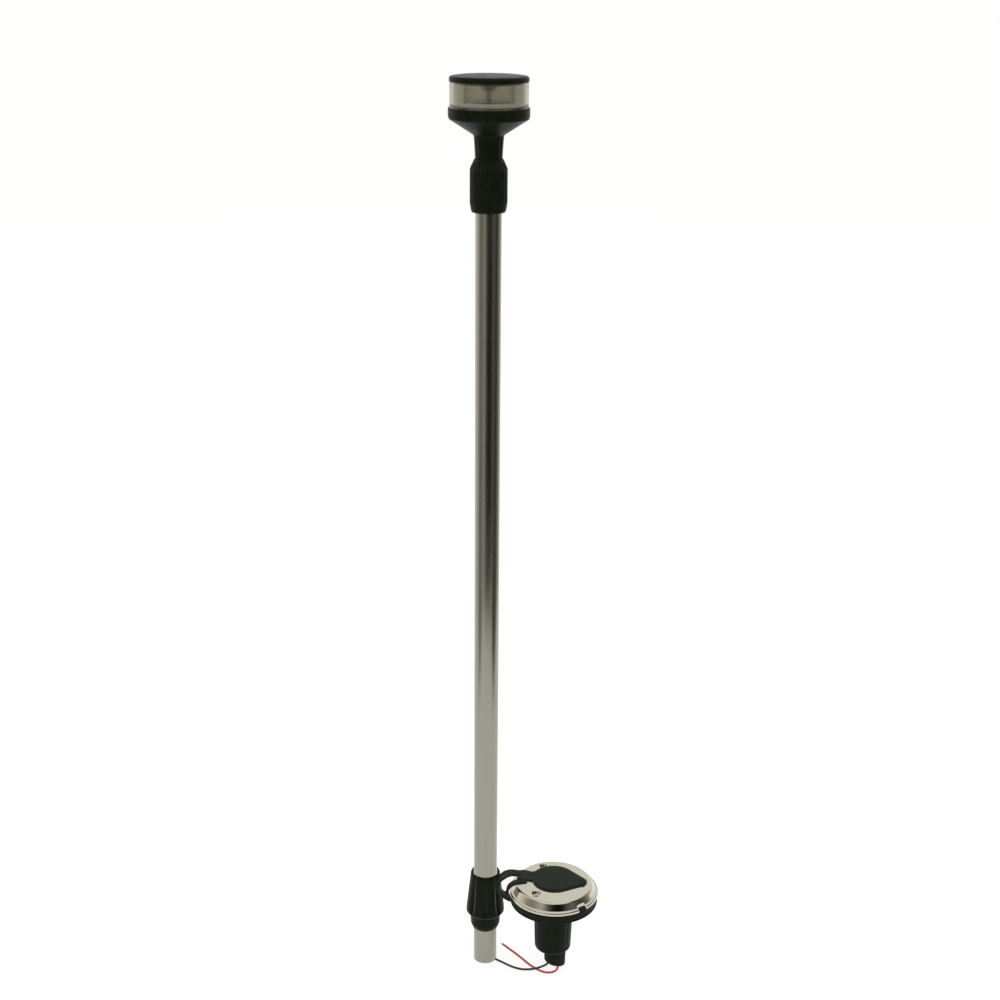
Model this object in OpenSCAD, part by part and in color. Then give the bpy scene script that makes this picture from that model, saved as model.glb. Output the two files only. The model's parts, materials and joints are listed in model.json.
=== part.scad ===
// Plug-in telescoping all-round white light for a small boat, with its through-deck socket base.
// The base stands on the origin: Z = 0 is the deck, the socket's axis is Z.
// The pole stands beside the base, on the level of the base's cable boot.

/* [Pole] */
// Outside diameter of the outer tube
tube_d = 19.05; // [18.8:0.05:19.3]
// Wall thickness of the outer tube
tube_wall = 1.2; // [1:0.05:1.25]
// Length of the outer tube
tube_len = 640; // [560:10:700]
// Outside diameter of the sliding inner tube
mast_d = 15.88; // [15.6:0.02:15.9]
// Wall thickness of the inner tube
mast_wall = 1; // [0.8:0.05:1.1]
// Distance from the socket's axis to the pole's axis, sideways
pole_x = -56.5; // [-70:0.5:-56.5]
// Distance from the socket's axis to the pole's axis, front to back
pole_y = 7; // [0:1:12]

/* [Locking collar] */
// Height of the collar's lower end above the end of the tube
collar_z = 32; // [32:1:40]
// Height of the collar
collar_h = 52; // [50:0.5:54]
// Widest radius of the collar
collar_r = 15.8; // [15:0.1:16]

/* [Light head] */
// Outside radius of the lamp housing
head_r = 28.8; // [28:0.1:30]
// Outside radius of the lens
lens_r = 28; // [27.4:0.1:28.2]
// Height of the clear lens
lens_h = 17.4; // [14:0.2:18]
// Number of light-emitting diodes
led_count = 8; // [6:1:10]

/* [Deck base] */
// Radius of the polished cover's rim
cover_r = 36.6; // [36.5:0.1:37]
// Height of the cover's flat top above the deck
cover_top = 17; // [16.8:0.1:17.5]
// Radius of the gasket and of the flange on it
flange_r = 35.8; // [35:0.1:36]
// Thickness of the deck gasket
gasket_t = 2.5; // [1.5:0.5:2.5]
// Radius of the socket that takes the tube
socket_r = 9.7; // [9.6:0.05:9.8]
// Radius of the socket's mouth, which takes the collar's nose
mouth_r = 13; // [12.9:0.1:13.2]
// Radius of the barrel below the deck
barrel_r = 16; // [15.8:0.1:16.1]
// Diameter of the circle that the deck screws stand on
screw_pcd = 47; // [46:0.5:48]
// Radius of the holes for the deck screws
screw_r = 2.3; // [2:0.1:2.5]
// Turn of the dust cap, so that its tab points forward and right
cap_turn = -11; // [-14:1:-8]

/* [Hidden] */
$fn = 96;
eps = 0.01;
slack = 0.3;                      // gap between pieces that move past each other
running = 0.06;                   // radial clearance of a shaft in its hole
black = "#1b1f1b";
rubber = "#2b2d2c";
steel = "#cfcabf";
anodised = "#9b988d";
brass = "#b58f46";
clear = [0.85, 0.87, 0.85, 0.45];

floor_z = -61.5;                  // level that the pole's end and the cable boot stand on
tube_r = tube_d / 2;
bore_r = tube_r - tube_wall;
mast_r = mast_d / 2;
mast_bore_r = mast_r - mast_wall;

// Heights above the end of the pole
mast_z = 60;                      // lower end of the inner tube
nut_z = tube_len - 14.7;          // lower end of the lock nut
nut_top = nut_z + 37.4;
neck_z = nut_top + slack;         // lower end of the head's neck
cone_z = neck_z + 17.2;           // where the neck meets the head's cone
drum_z = cone_z + 10.3;           // where the cone meets the upright wall
rim_z = drum_z + 7.2;             // top of the housing
cap_z = rim_z + lens_h;           // top of the lens
mast_top = neck_z + 12;           // where the inner tube ends, inside the head's neck

// Heights above the deck
flange_top = 8;
rim_top = flange_top + 2.6;
barrel_top = cover_top - 2.5;
sheet = 1;                        // thickness of the cover's sheet
floor_of_socket = -30;
barrel_end = -44.4;
screw_angles = [230, 110, 350];
crease = -19.4;                   // the cap's crease, before the cap is turned
cap_t = 3.4;
seat_in_mouth = 13.6;             // wider top of the mouth, which takes the cap's plug

function arc(c, r, a0, a1, n = 6) =
  [for (i = [0:n]) let (a = a0 + (a1 - a0) * i / n) [c[0] + r * cos(a), c[1] + r * sin(a)]];

module at_pole() {
  translate([pole_x, pole_y, floor_z])
    children();
}

module ring(r_out, r_in, z0, z1) {
  difference() {
    translate([0, 0, z0])
      cylinder(r = r_out, h = z1 - z0);
    translate([0, 0, z0 - 1])
      cylinder(r = r_in, h = z1 - z0 + 2);
  }
}

module disc(r, z0, z1) {
  translate([0, 0, z0])
    cylinder(r = r, h = z1 - z0);
}

module around(n, r, a0 = 0) {
  for (i = [0:n - 1])
    rotate([0, 0, a0 + 360 * i / n])
      translate([r, 0, 0])
        children();
}

module at_screws() {
  for (a = screw_angles)
    rotate([0, 0, a])
      translate([screw_pcd / 2, 0, 0])
        children();
}

// ---- swept shapes -------------------------------------------------------------------------
function unit(v) = v / norm(v);

// Direction of a route at its point i
function heading(route, i) =
  unit(route[min(i + 1, len(route) - 1)] - route[max(i - 1, 0)]);

// One ring of points round the route, with the section's own x along side and y across it
function section_at(route, i, section, side) =
  let (t = heading(route, i), y = unit(cross(t, side)), x = cross(y, t))
  [for (s = section) route[i] + s[0] * x + s[1] * y];

module sweep(route, section, side) {
  n = len(section);
  m = len(route);
  points = [for (i = [0:m - 1]) each section_at(route, i, section, side)];
  skin = [for (i = [0:m - 2], j = [0:n - 1])
    [i * n + j, (i + 1) * n + j, (i + 1) * n + (j + 1) % n, i * n + (j + 1) % n]];
  start = [[for (j = [0:n - 1]) j]];
  finish = [[for (j = [n - 1:-1:0]) (m - 1) * n + j]];
  polyhedron(points = points, faces = concat(skin, start, finish), convexity = 6);
}

function round_section(r, n = 8) = [for (j = [0:n - 1]) r * [cos(360 * j / n), sin(360 * j / n)]];

wire_r = 0.9;

// The black wire leaves the boot, lies over the red one and ends in front of the tube
black_route = [
  [-1.5, -1.6, -53], [-2.2, -3, -55.6], [-3.2, -4.9, -57.6], [-5.6, -7.3, -58.8], [-9.8, -10.4, -58.8],
  [-14.8, -12.7, -58.9], [-20, -13, -59.4], [-25.6, -12, -60.1], [-31.3, -9.5, -60.4],
  [-36.4, -6.8, -60.1], [-41, -4.8, -59], [-45, -4.4, -57.2], [-48.2, -4.8, -55.2]];

// The red wire passes under the black one and ends behind the tube
red_route = [
  [3, -1, -53], [3.5, -3, -56], [4.2, -5.8, -58.5], [4.3, -9, -60.1], [2.7, -12.5, -60.6],
  [-1, -15.2, -60.6], [-6, -15.3, -60.6], [-10.4, -13.1, -60.6], [-14.6, -9.6, -60.6],
  [-19.4, -4.6, -60.6], [-25.3, 3.4, -60.6], [-31.2, 11, -60.6], [-37, 18, -60.6], [-41.6, 23.4, -60.6]];

// The strap's outer arm loops out past the rim and comes back under it
strap_t = 2.2;
outer_arm = [
  [-22.6, 5, 18.9], [-27, 6.6, 19.4], [-32, 7, 20.2], [-37, 5, 21.2], [-40.8, 1.2, 21.6], [-43.6, -3.4, 21],
  [-45.2, -7, 19.4], [-45.4, -9.4, 16.8], [-44.2, -9.8, 13.8], [-42, -9.4, 10.8], [-39.2, -8.8, 8.2],
  [-36.6, -8.4, 6.4], [-34.2, -8, 5.7]];

// Its inner arm lies on the cover and goes down round the rim
inner_arm = [
  [-22.6, -2.6, 18.8], [-27, -3.4, 18.6], [-31, -3.2, 17.8], [-34.2, -3.2, 16.4], [-36.8, -3.6, 14.4],
  [-38.1, -4.6, 12], [-38.4, -5.6, 8.8], [-37.9, -6.2, 6.8], [-35.8, -6.6, 5.8]];

// ---- deck base ----------------------------------------------------------------------------
// Pressed stainless cover with a rolled rim and three dimpled screw holes
module cover_skin(inset) {
  fold = 34;                      // radius of the fold between the rim and the dome
  shoulder = 3.5;                 // radius of the bend from the flat top to the steep side
  rotate_extrude()
    polygon(concat(
      [[0, flange_top - eps], [cover_r - inset, flange_top - eps]],
      arc([cover_r - 1.6, rim_top - 1.6], 1.6 - inset, 0, 90),
      [[fold - 0.8 * inset, rim_top - inset]],
      arc([28.8, cover_top - shoulder], shoulder - inset, 25, 90, 8),
      [[0, cover_top - inset]]));
}

module steel_cover() {
  dimple = 2.8;                   // depth of a screw's countersink
  notch_w = 8;
  color(steel)
    difference() {
      union() {
        difference() {
          cover_skin(0);
          cover_skin(sheet);
        }
        at_screws()
          translate([0, 0, cover_top - dimple])
            cylinder(r1 = screw_r + 0.9, r2 = 5, h = dimple - 0.4);
      }
      at_screws()
        translate([0, 0, cover_top - dimple + 0.6])
          cylinder(r1 = screw_r, r2 = 4.1, h = dimple - 0.6 + eps);
      at_screws()
        disc(screw_r, 0, cover_top);
      disc(mouth_r + 1.1, 0, cover_top + 1);
      rotate([0, 0, -51])         // notch for prying the cover off
        translate([33, -notch_w / 2, flange_top - 1])
          cube([5, notch_w, 6]);
    }
}

module base_flange() {
  color(black)
    difference() {
      union() {
        ring(flange_r, barrel_r + 0.4, gasket_t, flange_top);
        at_screws()
          disc(4.4, flange_top - eps, cover_top - 3.1);
      }
      at_screws()
        disc(screw_r, -1, 18);
      translate([-flange_r - 1, -12, flange_top - 3.8])   // slot that the strap's end lies in
        cube([5.6, 9, 4]);
    }
}

// Barrel with the socket, the wider mouth over it and the chamber for the contacts below
module socket_barrel() {
  chamber_r = 11;
  color(black)
    difference() {
      union() {
        disc(barrel_r + 0.35, 0, barrel_top);
        disc(barrel_r, -12, eps);
        translate([0, 0, barrel_end])
          cylinder(r1 = 14.8, r2 = barrel_r, h = -12 - barrel_end + eps);
      }
      disc(socket_r, -12, barrel_top);
      disc(socket_r + 0.4, barrel_end - 1, -12 + eps);
      disc(mouth_r, 2, barrel_top + 1);
      disc(seat_in_mouth, 13, barrel_top + 1);
      disc(chamber_r, barrel_end - 1, floor_of_socket);
      ring(chamber_r + 0.8, chamber_r - 1, -36.8, -35.5);
    }
}

module deck_gasket() {
  color(rubber)
    difference() {
      ring(flange_r, barrel_r + 0.6, 0, gasket_t);
      at_screws()
        disc(screw_r, -1, gasket_t + 1);
    }
}

module mouth_seal() {
  color(rubber)
    ring(mouth_r + 3, mouth_r + 0.9, barrel_top, cover_top - sheet);
}

contact_r = 1.5;                  // centre pin
shell_r = 5;                      // outside of the ring contact

module contact_carrier() {
  color(black)
    difference() {
      disc(10.95, -35, floor_of_socket);
      disc(contact_r, -36, 0);
      ring(shell_r, shell_r - 0.6, -36, 0);
    }
}

module centre_contact() {
  color(brass)
    union() {
      disc(contact_r, -38, -18);
      translate([0, 0, -18 - eps])
        cylinder(r1 = contact_r, r2 = 0.7, h = 1.2);
    }
}

module ring_contact() {
  color(brass)
    ring(shell_r, shell_r - 0.6, -37, -21);
}

module retaining_ring() {
  color(steel)
    difference() {
      ring(11.7, 9.4, -36.7, -35.6);
      translate([9, -3, -38])
        cube([4, 6, 4]);
    }
}

// Two tabs: one on the centre pin and one on the ring contact
module terminals() {
  color(brass)
    union() {
      ring(2.9, contact_r, -37.4, -36.6);
      ring(shell_r + 1.8, shell_r, -36.6, -35.8);
      translate([1.9, -0.9, -39.4])
        cube([0.8, 1.8, 2]);
      translate([shell_r + 0.4, -0.9, -39.4])
        cube([0.8, 1.8, 2.9]);
    }
}

module base_leads() {
  color(rubber)
    for (x = [-1.7, 1.7])
      translate([x, 1, -48.4])
        cylinder(r = wire_r, h = 8.6);
}

// Moulded boot that closes the barrel; its stub stands off centre and is cut on a slant
module cable_boot() {
  stub_r = 8.8;
  stub_x = 2;
  color(rubber)
    difference() {
      union() {
        disc(10.9, barrel_end, barrel_end + 2.6);
        translate([stub_x, 0, 0])
          disc(stub_r, floor_z, barrel_end + eps);
      }
      disc(3.8, -48.6, barrel_end + 3);
      translate([stub_x + stub_r, -20, floor_z])
        rotate([0, 13, 0])
          translate([-40, 0, -20])
            cube([40, 40, 20]);
    }
}

module wire_black() {
  color("#1c1e1d")
    sweep(black_route, round_section(wire_r), [0, 0, 1]);
}

module wire_red() {
  color("#c4472f")
    sweep(red_route, round_section(wire_r), [0, 0, 1]);
}

// Bared and tinned end of a wire, in line with its last stretch
module bared_end(route) {
  last = route[len(route) - 1];
  d = heading(route, len(route) - 1);
  translate(last)
    rotate([0, acos(d[2]), atan2(d[1], d[0])])
      cylinder(r = 0.6, h = 3);
}

module wire_ends() {
  color("#a9a69c")
    union() {
      bared_end(black_route);
      bared_end(red_route);
    }
}

function strap_section(w) =
  [[-w / 2, -strap_t / 2], [w / 2, -strap_t / 2], [w / 2, strap_t / 2], [-w / 2, strap_t / 2]];

module cap_strap() {
  color(rubber)
    union() {
      rotate([0, 0, cap_turn])
        translate([0, 0, cover_top + 1.1])
          linear_extrude(strap_t)
            polygon([
              [-21.9, -6.6], [-21.9, 5.6], [-26, 6.6], [-30, 5.4], [-30, -5.6], [-27, -7.8], [-24, -7.8]]);
      sweep(outer_arm, strap_section(6.4), [0.12, 0.99, 0]);
      sweep(inner_arm, strap_section(5.6), [0.1, 0.99, 0]);
    }
}

// Flat cap, round over the socket, drawn out to a rounded tab, with a plug beneath
module socket_cap() {
  mid_z = cover_top + 0.3 + cap_t / 2;
  color(rubber)
    rotate([0, 0, cap_turn])
      union() {
        translate([0, 0, cover_top + 0.3])
          linear_extrude(cap_t)
            union() {
              circle(r = 18);
              polygon([
                [8, 16.2], [25.4, 4.4], [26.8, 2.6], [27.3, 0], [26.8, -2.6], [25.4, -4.4], [8, -16.2]]);
            }
        translate([crease, -6.4, mid_z - strap_t / 2])
          cube([6, 12.8, strap_t]);
        translate([crease, 6.4, mid_z])
          rotate([90, 0, 0])
            cylinder(r = cap_t / 2 - 0.2, h = 12.8);
        translate([0, 0, cover_top - 3.8])
          cylinder(r1 = 12.5, r2 = 13, h = 4.2);
      }
}

// ---- pole ---------------------------------------------------------------------------------
plug_end = 31;                    // a turned line marks how far the tube goes into a socket
module outer_tube() {
  color(anodised)
    at_pole()
      difference() {
        ring(tube_r, bore_r, 0, tube_len);
        ring(tube_r + 1, tube_r - 0.25, plug_end, plug_end + 0.8);
      }
}

sleeve_r = contact_r + 0.1;       // bore of the centre sleeve
shell_bore = shell_r + 0.1;       // bore of the ring sleeve

module plug_insert() {
  color(black)
    at_pole()
      difference() {
        disc(bore_r, 3, 30);
        disc(2.7, 2, 26);
        disc(1, 25, 31);
        ring(6.3, 4.2, 2, 22);
        translate([5.2, 0, 21])
          cylinder(r = 1, h = 10);
      }
}

module plug_centre_sleeve() {
  color(brass)
    at_pole()
      ring(2.7, sleeve_r, 3.4, 26);
}

module plug_ring_sleeve() {
  color(brass)
    at_pole()
      ring(6.3, shell_bore, 3.4, 22);
}

module plug_leads() {
  color(rubber)
    at_pole()
      union() {
        disc(0.95, 26, 34);
        translate([5.2, 0, 22])
          cylinder(r = 0.95, h = 9);
        translate([3.2, 0, 31])
          cylinder(r = 0.95, h = 3);
        translate([3.2, -0.95, 30.6])
          cube([2, 1.9, 0.9]);
      }
}

// The coiled lead from the plug to the head, as its outer shape
coil_top = 655;
module coil_lead() {
  color(rubber)
    at_pole()
      ring(5.2, 2.4, 34, coil_top);
}

seat_r = 9;                       // lower radius of the ferrule's cone
seat_rise = 1.4;                  // how much the cone opens
module tube_ferrule() {
  top = tube_len + 10;
  color(black)
    at_pole()
      difference() {
        union() {
          disc(10.9, nut_z + 0.8, top);
          disc(11.3, tube_len - 8, top - 2);
        }
        disc(tube_r, nut_z, tube_len);
        disc(mast_r + running + 0.3, tube_len - 1, top);
        translate([0, 0, tube_len])
          cylinder(r1 = seat_r, r2 = seat_r + seat_rise, h = 10 + eps);
      }
}

module collet() {
  foot = tube_len + 2;
  lip = tube_len + 11.8;
  color("#d8d5c8")
    at_pole()
      difference() {
        union() {
          translate([0, 0, foot])
            cylinder(r1 = seat_r - 0.05, r2 = seat_r + seat_rise - 0.35, h = 8.4);
          disc(seat_r + seat_rise - 0.35, foot + 8.3, lip + eps);
          disc(10.6, lip, lip + 4.2);
        }
        disc(mast_r + running, foot - 1, lip + 5);
        for (a = [0, 90])
          rotate([0, 0, a])
            translate([-12, -0.6, foot - 1])
              cube([24, 1.2, 11]);
      }
}

module lock_nut() {
  w = 13.7;
  color(black)
    at_pole()
      difference() {
        rotate_extrude()
          polygon(concat(
            [[0, nut_z], [12.2, nut_z], [12.6, nut_z + 0.5], [w, nut_z + 4.3], [w, nut_top - 6.8]],
            arc([w - 1.5, nut_top - 6.2], 1.5, 0, 40, 3),
            [[10.6, nut_top - 1], [10.1, nut_top], [0, nut_top]]));
        disc(11.6, nut_z - 1, tube_len + 12);
        disc(10.9, tube_len + 11, tube_len + 16.4);
        disc(mast_r + slack, tube_len, nut_top + 1);
        around(24, w + 0.5)
          disc(0.9, nut_z - 1, nut_top + 1);
      }
}

// ---- locking collar -----------------------------------------------------------------------
bush_r = 10.6;
bush_z = collar_z + 4.8;
bush_h = 23.4;

module collar_bush() {
  color("#d8d5c8")
    at_pole()
      difference() {
        ring(bush_r, tube_r + running, bush_z, bush_z + bush_h);
        ring(tube_r + 0.7, tube_r - 1, bush_z + 10, bush_z + 12);
      }
}

module collar_oring() {
  color(rubber)
    at_pole()
      ring(tube_r + 0.68, tube_r + 0.02, bush_z + 10.1, bush_z + 11.9);
}

module locking_collar() {
  shoulder = collar_z + 14;
  top = collar_z + collar_h;
  color(black)
    at_pole()
      difference() {
        rotate_extrude()
          polygon([
            [0, collar_z], [10.6, collar_z], [11.6, collar_z + 1.6], [12.2, collar_z + 5],
            [12.5, shoulder - 0.6], [14.6, shoulder], [collar_r, shoulder + 1.4],
            [collar_r, shoulder + 3], [12, top - 1.6], [11.7, top - 0.4], [11.4, top], [0, top]]);
        disc(tube_r + slack, collar_z - 1, top + 1);
        disc(bush_r + running, bush_z - slack, bush_z + bush_h + slack);
        translate([0, 0, top - 19])
          cylinder(r1 = tube_r + slack, r2 = bush_r + 0.1, h = 2);
        disc(bush_r + 0.1, top - 17, top + 1);
        around(8, collar_r + 1.7)
          translate([0, 0, shoulder - 1])
            rotate([0, -7, 0])
              cylinder(r = 2.6, h = collar_h - 19);
      }
}

// ---- inner tube and light head ------------------------------------------------------------
module inner_tube() {
  color(anodised)
    at_pole()
      ring(mast_r, mast_bore_r, mast_z, mast_top);
}

module guide_bush() {
  color("#d8d5c8")
    at_pole()
      difference() {
        union() {
          disc(bore_r - running, mast_z - 10, mast_z);
          disc(mast_bore_r, mast_z - eps, mast_z + 12);
        }
        disc(5.6, mast_z - 11, mast_z + 13);
      }
}

module head_housing() {
  color(black)
    at_pole()
      difference() {
        rotate_extrude()
          polygon(concat(
            [[0, neck_z], [9.8, neck_z], [10.2, neck_z + 6], [10.7, cone_z - 1.6], [10.9, cone_z],
             [head_r - 0.6, drum_z - 0.2]],
            arc([head_r - 0.8, drum_z + 0.8], 0.8, 300, 360, 3),
            [[head_r, rim_z], [0, rim_z]]));
        disc(mast_r, neck_z - 1, mast_top);
        disc(6, neck_z, rim_z);
        translate([0, 0, cone_z + 2.5])
          cylinder(r1 = 7, r2 = 24, h = drum_z - cone_z - 2.5 + eps);
        disc(25.6, drum_z, rim_z + 1);
        around(12, 10.9)
          disc(1.4, neck_z - 1, cone_z - 2);
      }
}

board_z = drum_z + 2.4;
module led_board() {
  color("#e4e2d6")
    at_pole()
      difference() {
        disc(23.4, board_z, board_z + 1.6);
        disc(2, board_z - 1, board_z + 3);
        around(3, 20.8, 30)
          disc(1.2, board_z - 1, board_z + 3);
        for (x = [-4, 4])
          translate([x, 0, board_z - 1])
            cylinder(r = 0.95, h = 4);
      }
}

module leds() {
  color("#e8c75a")
    at_pole()
      around(led_count, 9)
        translate([-1.7, -1.7, board_z + 1.6])
          cube([3.4, 3.4, 1.2]);
}

// Screws through the board, with the posts they stand on
module board_screws() {
  color(steel)
    at_pole()
      around(3, 20.8, 30) {
        disc(2, board_z - 3, board_z);
        disc(1.2, board_z - eps, board_z + 1.6);
        disc(2.2, board_z + 1.6, board_z + 2.6);
      }
}

module lens_gasket() {
  color(rubber)
    at_pole()
      ring(25.55, 24.95, rim_z - 3.4, rim_z - 1.4);
}

module lens() {
  color(clear)
    at_pole()
      difference() {
        union() {
          disc(lens_r, rim_z, cap_z);
          disc(24.9, rim_z - 4.6, rim_z + eps);
        }
        disc(25.2, rim_z + 1.6, cap_z + 1);
        disc(23.5, rim_z - 5, rim_z + 2);
      }
}

// Pale stepped ring that shows through the foot of the lens
module light_ring() {
  color("#cfcdbf")
    at_pole()
      union() {
        ring(25, 18.6, rim_z + 1.7, rim_z + 2.7);
        ring(22.4, 21.2, rim_z + 2.6, rim_z + 3.8);
      }
}

module inner_optic() {
  color(clear)
    at_pole()
      ring(18, 16.4, board_z + 1.7, cap_z - 0.4);
}

module reflector_cone() {
  color(steel)
    at_pole()
      difference() {
        translate([0, 0, cap_z - 6.4])
          cylinder(r1 = 3, r2 = 13, h = 6);
        disc(1.7, board_z, cap_z);
      }
}

module top_cap() {
  color(black)
    at_pole()
      difference() {
        union() {
          rotate_extrude()
            polygon(concat(
              [[0, cap_z], [lens_r - 0.2, cap_z], [lens_r, cap_z + 0.4]],
              arc([lens_r - 2, cap_z + 2.1], 2, 0, 80, 5),
              [[20, cap_z + 4.5], [10, cap_z + 4.8], [0, cap_z + 4.9]]));
          ring(25.1, 23, cap_z - 1.2, cap_z + eps);
        }
        disc(1.5, cap_z - 1, cap_z + 3);
      }
}

// Long screw from the board up into the top cap
module centre_screw() {
  color(steel)
    at_pole()
      union() {
        disc(1.5, board_z - 1, cap_z + 2.6);
        disc(2.6, board_z - 2.6, board_z - 0.9);
      }
}

module head_leads() {
  color(rubber)
    at_pole()
      for (x = [-4, 4])
        translate([x, 0, coil_top + 1])
          cylinder(r = 0.9, h = board_z + 1.6 - coil_top - 1);
}

steel_cover();
base_flange();
socket_barrel();
deck_gasket();
mouth_seal();
contact_carrier();
centre_contact();
ring_contact();
retaining_ring();
terminals();
base_leads();
cable_boot();
wire_black();
wire_red();
wire_ends();
cap_strap();
socket_cap();
outer_tube();
plug_insert();
plug_centre_sleeve();
plug_ring_sleeve();
plug_leads();
coil_lead();
tube_ferrule();
collar_bush();
collar_oring();
locking_collar();
collet();
lock_nut();
inner_tube();
guide_bush();
head_housing();
lens_gasket();
lens();
led_board();
leds();
board_screws();
light_ring();
inner_optic();
reflector_cone();
top_cap();
centre_screw();
head_leads();
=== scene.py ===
"""Looks of the plug-in pole light: camera, cords, then every visible piece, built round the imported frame."""

import json
import math

import bmesh
import bpy
from mathutils import Matrix, Vector

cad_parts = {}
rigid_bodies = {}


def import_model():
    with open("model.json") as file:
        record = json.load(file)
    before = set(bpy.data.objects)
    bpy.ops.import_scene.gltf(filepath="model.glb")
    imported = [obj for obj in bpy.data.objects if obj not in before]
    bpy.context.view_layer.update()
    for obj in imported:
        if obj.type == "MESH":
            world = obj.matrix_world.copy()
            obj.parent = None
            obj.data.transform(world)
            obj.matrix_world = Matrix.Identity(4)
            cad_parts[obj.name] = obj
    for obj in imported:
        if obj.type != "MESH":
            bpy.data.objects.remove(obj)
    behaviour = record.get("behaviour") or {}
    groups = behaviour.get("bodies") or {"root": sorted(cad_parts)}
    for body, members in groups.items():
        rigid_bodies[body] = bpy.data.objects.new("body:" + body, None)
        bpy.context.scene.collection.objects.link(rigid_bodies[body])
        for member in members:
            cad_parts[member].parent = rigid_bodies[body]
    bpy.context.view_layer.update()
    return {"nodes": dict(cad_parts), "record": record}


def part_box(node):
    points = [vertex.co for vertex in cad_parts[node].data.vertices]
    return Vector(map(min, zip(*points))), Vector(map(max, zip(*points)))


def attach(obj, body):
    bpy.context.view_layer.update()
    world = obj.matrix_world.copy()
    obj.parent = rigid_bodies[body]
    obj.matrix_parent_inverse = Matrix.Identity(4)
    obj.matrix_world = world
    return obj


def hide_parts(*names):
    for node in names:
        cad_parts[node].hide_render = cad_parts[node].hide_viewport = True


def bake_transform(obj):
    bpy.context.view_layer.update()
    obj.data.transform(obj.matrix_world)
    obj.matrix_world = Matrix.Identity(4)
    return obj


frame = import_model()
MM = 0.001
TAU = 2 * math.pi


# ---- places, all from the frame -----------------------------------------------------------
def low(node):
    """Lowest corner of a CAD node, in millimetres."""
    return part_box(node)[0] / MM


def high(node):
    """Highest corner of a CAD node, in millimetres."""
    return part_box(node)[1] / MM


def centre(node):
    """Middle of a CAD node, in millimetres."""
    return (low(node) + high(node)) / 2


POLE = centre("outer_tube")
FLOOR = low("outer_tube").z
TUBE_R = (high("outer_tube").x - low("outer_tube").x) / 2
TUBE_TOP = high("outer_tube").z
MAST_R = (high("inner_tube").x - low("inner_tube").x) / 2
POLE_AXIS = (POLE.x, POLE.y)
BASE_AXIS = (0.0, 0.0)


def add_object(name, data):
    """A new object with this data, in the scene."""
    obj = bpy.data.objects.new(name, data)
    bpy.context.scene.collection.objects.link(obj)
    return obj


# ---- camera -------------------------------------------------------------------------------
def add_camera():
    """A normal lens a little over a metre away, just above the lamp and looking down at the base."""
    right, back, up = 9.7, 1110, 793.6  # from the pole's foot, in millimetres
    down, lean = 19.15, 0.436  # degrees
    data = bpy.data.cameras.new("camera")
    data.lens = 55.8
    data.sensor_width = 36
    data.clip_end = 50
    camera = add_object("camera", data)
    place = Matrix.Translation(Vector((POLE.x + right, POLE.y - back, FLOOR + up)) * MM)
    pitch = Matrix.Rotation(math.radians(90 - down), 4, "X")
    roll = Matrix.Rotation(math.radians(lean), 4, "Z")
    camera.matrix_world = place @ pitch @ roll
    bpy.context.scene.camera = camera


# ---- node helpers -------------------------------------------------------------------------
class Shader:
    """A material with its Principled shader and short calls to add nodes to it."""

    def __init__(self, name, colour, rough, metal=0.0):
        self.mat = bpy.data.materials.new(name)
        self.mat.use_nodes = True
        self.tree = self.mat.node_tree
        self.bsdf = self.tree.nodes["Principled BSDF"]
        self.set("Base Color", (*colour, 1))
        self.set("Roughness", rough)
        self.set("Metallic", metal)
        self.mat.diffuse_color = (*colour, 1)

    def set(self, socket, value):
        self.bsdf.inputs[socket].default_value = value

    def node(self, kind, **values):
        n = self.tree.nodes.new(kind)
        for key, value in values.items():
            if hasattr(n, key):
                setattr(n, key, value)
            else:
                n.inputs[key.replace("_", " ")].default_value = value
        return n

    def link(self, a, b):
        self.tree.links.new(a, b)

    def place(self, scale=(1, 1, 1)):
        """Object coordinates in metres, scaled."""
        coords = self.node("ShaderNodeTexCoord")
        mapping = self.node("ShaderNodeMapping")
        mapping.inputs["Scale"].default_value = scale
        self.link(coords.outputs["Object"], mapping.inputs["Vector"])
        return mapping.outputs["Vector"]

    def noise(self, size_mm, detail, scale=(1, 1, 1)):
        """Noise whose features are about size_mm across."""
        n = self.node("ShaderNodeTexNoise", Scale=1000 / size_mm, Detail=detail, Roughness=0.55)
        self.link(self.place(scale), n.inputs["Vector"])
        return n.outputs["Fac"]

    def span(self, value, a0, a1, b0, b1):
        """The value with the range a0 to a1 carried over to b0 to b1."""
        m = self.node("ShaderNodeMapRange")
        for socket, v in (("From Min", a0), ("From Max", a1), ("To Min", b0), ("To Max", b1)):
            m.inputs[socket].default_value = v
        self.link(value, m.inputs["Value"])
        return m.outputs["Result"]

    def mix(self, factor, a, b):
        m = self.node("ShaderNodeMix", data_type="RGBA")
        self.link(factor, m.inputs["Factor"])
        m.inputs["A"].default_value = (*a, 1)
        m.inputs["B"].default_value = (*b, 1)
        return m.outputs["Result"]

    def colour(self, factor, a, b):
        self.link(self.mix(factor, a, b), self.bsdf.inputs["Base Color"])

    def roughness(self, factor, a0, a1, b0, b1):
        self.link(self.span(factor, a0, a1, b0, b1), self.bsdf.inputs["Roughness"])

    def bump(self, height, depth_mm, strength=1.0):
        b = self.node("ShaderNodeBump", Strength=strength, Distance=depth_mm * MM)
        self.link(height, b.inputs["Height"])
        if self.bsdf.inputs["Normal"].is_linked:
            self.link(self.bsdf.inputs["Normal"].links[0].from_socket, b.inputs["Normal"])
        self.link(b.outputs["Normal"], self.bsdf.inputs["Normal"])


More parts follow.
